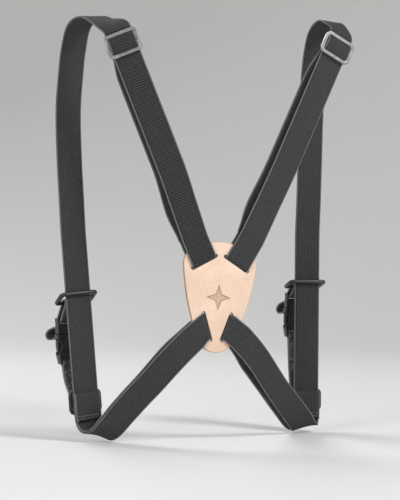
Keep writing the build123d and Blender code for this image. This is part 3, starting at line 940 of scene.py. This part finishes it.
def star_cutter():
    """Faceted four-pointed star, standing in the pad's front face."""
    made = bmesh.new()
    rings = []
    for depth, scale in ((-STAR_DEPTH, 1.2), (STAR_DEPTH, 0.8)):
        ring = []
        for i in range(8):
            reach = (STAR_WAIST if i % 2 else STAR_RADIUS) * scale
            x, z = reach * cos(pi / 4 * i), reach * sin(pi / 4 * i)
            ring.append(made.verts.new((x, depth - PAD_THICKNESS, z)))
        rings.append(ring)
    crown = made.verts.new((0, STAR_CROWN_DEPTH - PAD_THICKNESS, 0))
    made.faces.new(rings[0])
    for i in range(8):
        k = (i + 1) % 8
        made.faces.new((rings[0][i], rings[0][k], rings[1][k], rings[1][i]))
        made.faces.new((rings[1][i], rings[1][k], crown))
    return linked("star", mesh_from("star", made))


def cut_away(target, cutter):
    """Boolean difference, applied."""
    modifier = target.modifiers.new("cut", "BOOLEAN")
    modifier.object = cutter
    modifier.solver = "EXACT"
    graph = bpy.context.evaluated_depsgraph_get()
    whole = bpy.data.meshes.new_from_object(target.evaluated_get(graph))
    target.modifiers.clear()
    target.data = whole
    bpy.data.objects.remove(cutter)


def leather_pad():
    outlines = [pad_outline()]
    for side in SIDES.values():
        outlines.append(slot_outline(UPPER_SLOT, side))
        outlines.append(slot_outline(LOWER_SLOT, side))
    mesh = moved(plate("pad_leather_piece", outlines, PAD_THICKNESS, PAD_EDGE, 4), Matrix())
    mesh.transform(Matrix.Translation((0, -PAD_THICKNESS / 2, 0)))
    pad = make_object("back_pad", mesh, LEATHER, CUT_LEATHER, PRESSED_LEATHER)
    cut_away(pad, star_cutter())
    for polygon in pad.data.polygons:
        deep = PAD_SKIN - PAD_THICKNESS < polygon.center.y < -PAD_SKIN
        inside = polygon.center.x ** 2 + polygon.center.z ** 2 < (1.1 * STAR_RADIUS) ** 2
        if abs(polygon.normal.y) < 0.8 or (deep and not inside):
            polygon.material_index = 1
        elif deep:
            polygon.material_index = 2
    pad.data.transform(Matrix.Rotation(PAD_TILT, 4, "Y"))
    smooth(pad.data, 24.0)
    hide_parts("leather_pad")
    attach(pad, "harness")


# ---- straps ----


def strap_spans(side):
    """How far along the whole strap its back run ends, in stations."""
    start = len(wrap(UPPER_SLOT, SIDES[side], 90, 0))
    return start + len(smooth_route(BACK_ROUTE[side])) - 1


def build_straps(side):
    way = SIDES[side]
    whole = strap(f"{side}_main_strap", main_route(side))
    whole.data.materials.append(RIBBED_ELASTIC)
    if side == "left":
        ring = len(strap_section(STRAP_WIDTH, STRAP_THICKNESS))
        for polygon in list(whole.data.polygons)[: strap_spans(side) * ring]:
            polygon.material_index = 1
    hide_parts(f"{side}_back_strap", f"{side}_front_strap", f"{side}_lower_strap")
    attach(whole, "harness")
    upper_return(side, way)
    lower_return(side, way)


def upper_return(side, way):
    """From the pad up to the shoulder slider."""
    low, top = last_run(BACK_ROUTE[side])
    run = (top - low).normalized()
    rest = top - run * (SLIDER_REACH * MM)
    back = [s for s in smooth_route(BACK_ROUTE[side]) if (s[0] - rest).dot(run) < 0]
    inner = return_layer(back, UPPER_SLOT, way, LAYER_ASIDE[side]["upper"], UPPER_SLACK)
    layer = wrap(UPPER_SLOT, way, 90, 180) + inner
    piece = strap(f"{side}_upper_return", layer)
    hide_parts(f"{side}_upper_return_layer")
    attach(piece, "harness")
    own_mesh(piece)


def fold_stations(side):
    """The outer strap beside the lower slider, from the fold's top down to its sewn end."""
    low_end = Vector(FRONT_ROUTE[side][-1][0]) * MM
    whole = smooth_route(FRONT_ROUTE[side][-2:] + LOWER_ROUTE[side])
    corner = min(range(len(whole)), key=lambda i: (whole[i][0] - low_end).length)
    start = corner
    while (whole[start][0] - low_end).length < FOLD_TOP:
        start -= 1
    stop = start
    gone = 0.0
    while gone < FOLD_LENGTH:
        stop += 1
        gone += (whole[stop][0] - whole[stop - 1][0]).length
    return whole, start, stop


def lower_return(side, way):
    """From the doubled end beside the lower slider round the bottom bend to the pad."""
    whole, start, stop = fold_stations(side)
    lower = return_layer(whole[stop:], LOWER_SLOT, way, LAYER_ASIDE[side]["lower"])
    piece = strap(f"{side}_lower_return", lower + wrap(LOWER_SLOT, way, 180, 90))
    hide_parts(f"{side}_lower_return_layer")
    adjuster = f"{side}_lower_adjuster"
    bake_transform(piece)
    towards = LAYER_STEP + FOLD_PLAY
    inner = offset(whole[start : stop + 1], towards)
    outer = offset(whole[start : stop + 1], towards + FOLD_STEP)
    turn = []
    first, last = inner[0], outer[0]
    for i in range(1, 6):
        angle = pi * i / 6
        middle = first[0].lerp(last[0], (1 - cos(angle)) / 2) - first[1] * (FOLD_BULGE * sin(angle))
        along = (last[0] - first[0]).normalized() * sin(angle) - first[1] * cos(angle)
        turn.append((middle, along.normalized(), first[2]))
    loop = [(place, -along, across) for place, along, across in reversed(inner)] + turn + outer
    fold = strap(f"{side}_sewn_fold", loop)
    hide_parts(f"{side}_return_fold")
    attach(fold, adjuster)
    rows = across_rows([FOLD_LENGTH / MM - up for up in FOLD_SEAM], FOLD_SEAM_HALF)
    seam = stitches(f"{side}_fold_seam", outer, rows)
    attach(seam, adjuster)


def on_strap(stations, along, aside, proud):
    """Point on a strap's face: millimetres from its start, aside and proud of its middle."""
    left = along * MM
    for i in range(len(stations) - 1):
        reach = (stations[i + 1][0] - stations[i][0]).length
        if left <= reach or i == len(stations) - 2:
            middle, across, facing, _ = squared(stations[i])
            place = middle.lerp(stations[i + 1][0], left / reach)
            return place + across * (aside * MM) + facing * (proud * MM)
        left -= reach


def across_rows(places, half):
    """Seam rows straight across a strap, at places along it."""
    return [((along, -half), (along, half)) for along in places]


def stitches(name, stations, rows, face=1.0, radius=0.28, length=2.1, gap=0.7):
    """Rows of thread on a strap's face, each from (along, aside) to (along, aside)."""
    made = bmesh.new()
    for start, end in rows:
        start, end = Vector(start), Vector(end)
        count = max(round((end - start).length / (length + gap)), 1)
        for k in range(count):
            first = start.lerp(end, (k + gap / (length + gap) / 2) / count)
            last = start.lerp(end, (k + 1 - gap / (length + gap) / 2) / count)
            add_stitch(made, stations, first, last, face, radius)
    mesh = mesh_from(name, made)
    smooth(mesh, 80.0)
    return make_object(name, mesh, THREAD)


def add_stitch(made, stations, first, last, face, radius):
    """One stitch: a thread that rises out of the web and goes back into it."""
    rings = []
    way = (last - first).normalized()
    side = Vector((-way.y, way.x))
    for i in range(5):
        t = i / 4
        at = first.lerp(last, t)
        high = STRAP_THICKNESS / MM / 2 - radius * 0.8 + 1.3 * radius * sin(pi * t)
        thick = radius * (0.55 + 0.45 * sin(pi * t))
        ring = []
        for k in range(6):
            angle = 2 * pi * k / 6
            off = at + side * (thick * cos(angle))
            proud = face * (high + thick * sin(angle))
            ring.append(made.verts.new(on_strap(stations, off.x, off.y, proud)))
        rings.append(ring)
    for ring, following in zip(rings, rings[1:]):
        for k in range(6):
            made.faces.new((ring[k], ring[(k + 1) % 6], following[(k + 1) % 6], following[k]))
    made.faces.new(rings[0])
    made.faces.new(rings[-1])


# ---- sliders ----


def build_slider(side, where, matrix, material):
    """Cast three-bar slider, and the strap's turn over its middle bar."""
    body = f"{side}_{where}_adjuster"
    width, height, thickness = SLIDER_SIZE
    outlines = [rounded_box(width, height, SLIDER_RADIUS), rounded_box(*SLIDER_WINDOW)]
    ring = slab(matrix, outlines, thickness, 0.8, 4, (0, -SLIDER_OUT, 0))
    long, tall, thin = MIDDLE_BAR
    bar = slab(matrix, [rounded_box(long, tall, 0.5)], thin, 0.7, 4, (0, -MIDDLE_BAR_OUT, 0))
    piece = joined(f"{side}_{where}_three_bar", [ring, bar], material)
    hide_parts(f"{side}_{where}_slider")
    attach(piece, body)
    fabric = RIBBED_ELASTIC if (side, where) == ("left", "shoulder") else ELASTIC
    line = in_frame(matrix, curve_through(HUMP, 4))
    turn = strap(f"{side}_{where}_turn", line, thickness=TURN_THICKNESS, material=fabric)
    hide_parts(f"{side}_{where}_strap_turn")
    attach(turn, body)


# ---- chest clips ----


def loop_bars(side):
    """(y, z) of the chest loop's two bars in the chest frame, and its slope."""
    slope = asin(LOOP_DROP[side] / LOOP_SPAN)
    reach = (LOOP_BAR[0] * cos(slope) + LOOP_BAR[1] * sin(slope)) / 2
    near = -STRAP_THICKNESS / MM / 2 - LOOP_GAP - reach
    high = LOOP_HEIGHT[side]
    far = (near + LOOP_SPAN * cos(slope), high - LOOP_DROP[side])
    return Vector((near, high)), Vector(far), slope


def build_loop(side, body):
    near, far, slope = loop_bars(side)
    middle = (near + far) / 2
    width, length, thickness = LOOP_SIZE
    outlines = [rounded_box(width, length, LOOP_RADIUS), rounded_box(*LOOP_WINDOW)]
    flat = Matrix.Translation((0, middle.x, middle.y)) @ Matrix.Rotation(-slope, 4, "X")
    mesh = plate("loop", outlines, thickness, 1.6, 5)
    mesh.transform(chest_frame(side) @ flat)
    piece = joined(f"{side}_chest_ring", [mesh], PLASTIC)
    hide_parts(f"{side}_chest_loop")
    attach(piece, body)


def build_plug_web(side, body):
    """Web sewn round the chest loop and the plug's bar."""
    _, far, _ = loop_bars(side)
    bar = Vector((BUCKLE_STANDOFF, BUCKLE_HEIGHT[side] + BUCKLE_END - BAR[1] / 2))
    way = bar - far
    lean = degrees(atan2(way.y, way.x))
    line = round_bar(far, lean + 90, lean + 270) + round_bar(bar, lean - 90, lean + 90)
    line.append(line[0].copy())
    stations = in_frame(chest_frame(side), filled(line))
    piece = strap(f"{side}_plug_band", stations, WEB_WIDTH, WEB_THICKNESS, WEB)
    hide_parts(f"{side}_plug_web")
    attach(piece, body)


def filled(points, step=2.0):
    """2-D points with more of them on each long run."""
    found = []
    for first, last in zip(points, points[1:]):
        count = max(ceil((last - first).length / step), 1)
        found += [first.lerp(last, i / count) for i in range(count)]
    return found + [points[-1]]


def build_tail(side, body):
    """The plug web's free end, folded back on itself into a pull."""
    inner = BUCKLE_STANDOFF + TAIL_START[0]
    high = BUCKLE_HEIGHT[side] + TAIL_START[1]
    points = curve_through([(inner + out, high + up) for out, up in TAIL], 6)
    stations = in_frame(chest_frame(side), points, TAIL_LEAN)
    piece = strap(f"{side}_pull_tail", stations, WEB_WIDTH, WEB_THICKNESS, WEB)
    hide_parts(f"{side}_web_tail")
    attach(piece, body)
    rows = across_rows(TAIL_SEAM, TAIL_SEAM_HALF)
    seam = stitches(f"{side}_tail_seam", stations, rows, -1.0)
    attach(seam, body)


def build_socket_web(side, body):
    """Web sewn double from the socket's bar down to the strap over the lower slider."""
    bar = BUCKLE_HEIGHT[side] - BUCKLE_END + BAR[1] / 2
    below = [(BUCKLE_STANDOFF, bar - WEB_TURN - 1.2),
             (BUCKLE_STANDOFF - BELLY_IN, bar - BELLY_SHARE * (bar - SLIDER_REACH)),
             (BUCKLE_STANDOFF - KNEE_IN, SLIDER_REACH + KNEE_ABOVE_SLIDER),
             (FOOT_STANDOFF, SLIDER_REACH), (END_STANDOFF, SLIDER_REACH - END_BELOW_SLIDER)]
    line = curve_through(below, 10)
    outer = list(reversed(beside(line, DOUBLED_STEP)))
    inner = beside(line, -DOUBLED_STEP)
    turn = round_bar((BUCKLE_STANDOFF, bar), -62, 242, 18)
    points = outer + turn + inner
    stations = in_frame(chest_frame(side), points)
    piece = strap(f"{side}_socket_band", stations, WEB_WIDTH, WEB_THICKNESS, WEB)
    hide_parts(f"{side}_socket_web")
    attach(piece, body)
    facing_in = in_frame(chest_frame(side), inner)
    top, low, edge = 4.0, 20.0, 7.4
    box = [((top, -edge), (top, edge)), ((low, -edge), (low, edge)), ((top, -edge), (low, -edge)),
           ((top, edge), (low, edge)), ((top, -edge), (low, edge)), ((top, edge), (low, -edge))]
    for i in range(9):
        aside = edge * (1 - 2 * (i % 2))
        box.append(((low + 3.0 + 0.8 * i, aside), (low + 3.8 + 0.8 * i, -aside)))
    seam = stitches(f"{side}_box_stitch", facing_in, box, 1.0, 0.32, 1.9, 0.5)
    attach(seam, body)


# ---- buckles ----


def shell_outline(low):
    """The socket's face: ears beside its web bar, thumb cut-outs, and a rounded mouth."""
    middle, half, depth = THUMB
    right = [(EAR_INNER, -WEB_SLOT_END), (EAR_INNER + 0.4, -BUCKLE_END),
             (SOCKET_HALF - 1.6, -BUCKLE_END), (SOCKET_HALF - 0.6, -16.0)]
    if low:
        right += [(SOCKET_HALF, middle - half - 1.4)]
        right += arc_points((SOCKET_HALF, middle - half), (SOCKET_HALF - depth, middle),
                            (SOCKET_HALF, middle + half), 14)
        right += [(SOCKET_HALF, middle + half), (SOCKET_HALF, MOUTH - 1.0),
                  (SOCKET_HALF - 1.2, MOUTH), (4.5, MOUTH), (3.4, MOUTH - 1.6)]
    else:
        right += [(SOCKET_HALF, CAVITY_FLOOR)]
    return right + mirrored(right)


def web_bar(matrix, high):
    """A buckle half's bar that its web is sewn round."""
    return slab(matrix, [rounded_box(BAR[0], BAR[1], 0.3)], BAR[2], 1.3, 4, (0, 0, high))


def build_socket(side, body):
    matrix = buckle_frame(side)
    meshes = []
    for way in (-1, 1):
        meshes.append(slab(matrix, [shell_outline(True)], SHELL, 0.55, 4, (0, way * SHELL_OUT, 0)))
        outer, low, high = SOCKET_HALF - 0.1, 2.2, MOUTH - 0.6
        post = [(CAVITY_HALF, low), (outer, low), (outer, high), (CAVITY_HALF, high)]
        post = [(way * x, z) for x, z in post]
        meshes.append(slab(matrix, [post], CAVITY + 0.5, 0.15, 1))
        proud = (0, way * (SHELL_OUT + SHELL / 2), 0)
        meshes.append(slab(matrix, [turned_corners(PANEL, 2.0)], 0.9, 0.35, 3, proud))
    meshes.append(slab(matrix, [shell_outline(False)], CAVITY + 0.3, 0.15, 1))
    meshes.append(web_bar(matrix, BAR[1] / 2 - BUCKLE_END))
    piece = joined(f"{side}_buckle_shell", meshes, PLASTIC)
    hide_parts(f"{side}_buckle_socket")
    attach(piece, body)


def build_plug(side, body):
    matrix = buckle_frame(side)
    half = SOCKET_HALF - 0.75
    low = MOUTH + 0.4
    right = [(half, low), (half, 12.0), (half - 0.9, 18.0), (half - 1.4, BUCKLE_END),
             (EAR_INNER, BUCKLE_END), (EAR_INNER, WEB_SLOT_END)]
    yoke = turned_corners(right + mirrored(right), 1.4)
    prong = [(-2.0, low + 1), (2.0, low + 1), (2.0, low - 11.5), (1.2, low - 14.0),
             (-1.2, low - 14.0), (-2.0, low - 11.5)]
    meshes = [slab(matrix, [yoke], YOKE_DEPTH, 1.1, 5), web_bar(matrix, BUCKLE_END - BAR[1] / 2),
              slab(matrix, [prong], PRONG_DEPTH, 0.6)]
    for z in YOKE_RIBS:
        for way in (-YOKE_DEPTH / 2, YOKE_DEPTH / 2):
            meshes.append(slab(matrix, [rounded_box(15.0, 0.8, 0.35)], 0.8, 0.3, 2, (0, way, z)))
    piece = joined(f"{side}_buckle_yoke", meshes, PLASTIC)
    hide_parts(f"{side}_buckle_plug")
    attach(piece, body)


def build_arm(side, where):
    """Springy arm, with a thumb pad that fills its cut-out."""
    way = SIDES[side] * (1 if where == "outer" else -1)
    matrix = buckle_frame(side)
    low, high = (12.8, -9.9), (12.8, 1.1)
    pad = arc_points(low, (10.1, THUMB[0]), high, 12) + arc_points(high, (13.2, THUMB[0]), low, 10)
    meshes = []
    arm = turned_corners(ARM, 0.8)
    for outline, depth, bevel in ((arm, ARM_DEPTH, 0.5), (pad, ARM_PAD_DEPTH, 0.7)):
        meshes.append(slab(matrix, [[(way * x, z) for x, z in outline]], depth, bevel))
    for z in ARM_RIBS:
        rib = [rounded_box(0.9, 0.9, 0.4)]
        meshes.append(slab(matrix, rib, ARM_RIB_DEPTH, 0.3, 2, (way * 13.0, 0, z)))
    piece = joined(f"{side}_{where}_arm", meshes, PLASTIC)
    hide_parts(f"{side}_latch_arm_{where}")
    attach(piece, f"{side}_{where}_latch")


leather_pad()
for side in SIDES:
    build_straps(side)
    build_slider(side, "shoulder", shoulder_frame(side), METAL)
    build_slider(side, "lower", lower_frame(side), PLASTIC)
    clip = f"{side}_chest_clip"
    adjuster = f"{side}_lower_adjuster"
    build_loop(side, clip)
    build_plug_web(side, clip)
    build_tail(side, clip)
    build_plug(side, clip)
    build_socket_web(side, adjuster)
    build_socket(side, adjuster)
    build_arm(side, "inner")
    build_arm(side, "outer")


# ---- stage ----


def stage():
    """Pale floor that curves up into a wall all round."""
    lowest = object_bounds()[0].z - FLOOR_DROP
    profile = [(FLOOR_RADIUS, 0.0)]
    for i in range(1, CURVE_STEPS + 1):
        angle = pi / 2 * i / CURVE_STEPS
        profile.append((FLOOR_RADIUS + FLOOR_CURVE * sin(angle), FLOOR_CURVE * (1 - cos(angle))))
    profile.append((FLOOR_RADIUS + FLOOR_CURVE, WALL_TOP))
    made = bmesh.new()
    rings = []
    for radius, height in profile:
        ring = []
        for i in range(STAGE_SIDES):
            angle = 2 * pi * i / STAGE_SIDES
            ring.append(made.verts.new((radius * cos(angle), radius * sin(angle), lowest + height)))
        rings.append(ring)
    made.faces.new(rings[0])
    for inner, outer in zip(rings, rings[1:]):
        for i in range(STAGE_SIDES):
            k = (i + 1) % STAGE_SIDES
            made.faces.new((inner[i], inner[k], outer[k], outer[i]))
    mesh = mesh_from("studio_floor", made, False)
    smooth(mesh, 60.0)
    shader = Shader("studio_floor", roughness=0.9, specular=0.1)
    shader.colour((0.66, 0.66, 0.65, 1.0))
    make_object("studio_floor", mesh, shader.material)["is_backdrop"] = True


def soft_light(name, place, size, power):
    light = bpy.data.lights.new(name, "AREA")
    light.shape = "DISK"
    light.size = size
    light.energy = power
    lamp = linked(name, light)
    lamp.location = place
    lamp.rotation_euler = (VIEW_CENTRE - lamp.location).to_track_quat("-Z", "Y").to_euler()


def camera():
    data = bpy.data.cameras.new("camera")
    data.lens = LENS
    data.sensor_width = SENSOR_WIDTH
    data.clip_start = 0.01
    made = linked("camera", data)
    forward = Vector((-sin(VIEW_AZIMUTH), cos(VIEW_AZIMUTH), 0))
    made.location = VIEW_CENTRE - forward * VIEW_DISTANCE
    made.rotation_euler = forward.to_track_quat("-Z", "Y").to_euler()
    bpy.context.scene.camera = made


def world():
    made = bpy.data.worlds.new("studio")
    made.use_nodes = True
    background = made.node_tree.nodes["Background"]
    background.inputs[0].default_value = (0.9, 0.92, 0.95, 1.0)
    background.inputs[1].default_value = 0.35
    bpy.context.scene.world = made
    bpy.context.scene.view_settings.view_transform = "Standard"


stage()
camera()
world()
soft_light("key", (0.9, -1.3, 1.25), 0.6, 28.0)
soft_light("fill", (-1.6, -1.0, 0.5), 0.8, 20.0)
soft_light("rim", (-0.4, 1.4, 1.3), 0.9, 20.0)
